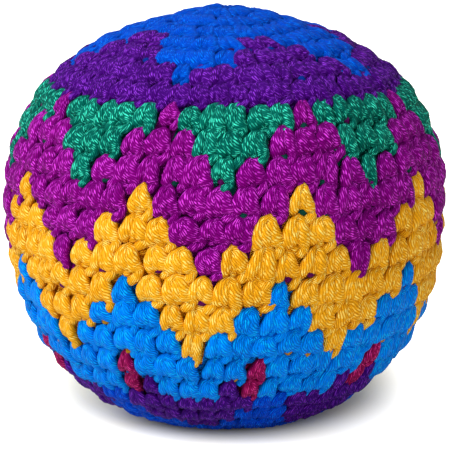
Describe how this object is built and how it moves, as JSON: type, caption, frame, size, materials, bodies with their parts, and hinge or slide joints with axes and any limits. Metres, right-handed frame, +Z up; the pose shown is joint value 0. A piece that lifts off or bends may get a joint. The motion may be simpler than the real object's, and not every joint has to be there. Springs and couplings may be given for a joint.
{
  "type": "footbag",
  "caption": "Small crocheted ball with stepped zigzag bands and stars in bright yarns, filled with loose pellets, for kicking games.",
  "frame": {"origin": "centre of the bounding box at its base, the middle of the flat that the ball rests on", "axes": "+Z up through the poles that the rounds of stitches go round, -Y towards the viewer of the picture, +X to the viewer's right"},
  "size_m": [0.057, 0.057, 0.0542],
  "materials": {
    "blue_yarn": "plied yarn worked in tight single crochet, soft sheen",
    "violet_yarn": "plied yarn worked in tight single crochet, soft sheen",
    "green_yarn": "plied yarn worked in tight single crochet, soft sheen",
    "magenta_yarn": "plied yarn worked in tight single crochet, soft sheen",
    "golden_yarn": "plied yarn worked in tight single crochet, soft sheen",
    "azure_yarn": "plied yarn worked in tight single crochet, soft sheen",
    "crimson_yarn": "plied yarn worked in tight single crochet, soft sheen",
    "dark_violet_yarn": "plied yarn worked in tight single crochet, soft sheen",
    "royal_blue_yarn": "plied yarn worked in tight single crochet, soft sheen",
    "pellets": "satin, smooth granules"
  },
  "bodies": {
    "root": {"crown_star": "blue_yarn", "crown_band": "violet_yarn", "green_triangle_1": "green_yarn", "green_triangle_2": "green_yarn", "green_triangle_3": "green_yarn", "green_triangle_4": "green_yarn", "green_triangle_5": "green_yarn", "green_triangle_6": "green_yarn", "green_triangle_7": "green_yarn", "green_triangle_8": "green_yarn", "green_triangle_9": "green_yarn", "magenta_zigzag": "magenta_yarn", "golden_zigzag": "golden_yarn", "azure_zigzag": "azure_yarn", "crimson_accent_1": "crimson_yarn", "crimson_accent_2": "crimson_yarn", "crimson_accent_3": "crimson_yarn", "crimson_accent_4": "crimson_yarn", "crimson_accent_5": "crimson_yarn", "crimson_accent_6": "crimson_yarn", "crimson_accent_7": "crimson_yarn", "crimson_accent_8": "crimson_yarn", "crimson_accent_9": "crimson_yarn", "violet_panel_1": "dark_violet_yarn", "violet_panel_2": "dark_violet_yarn", "violet_panel_3": "dark_violet_yarn", "violet_panel_4": "dark_violet_yarn", "violet_panel_5": "dark_violet_yarn", "violet_panel_6": "dark_violet_yarn", "base_star": "royal_blue_yarn", "pellet_fill": "pellets"}
  },
  "joints": []
}
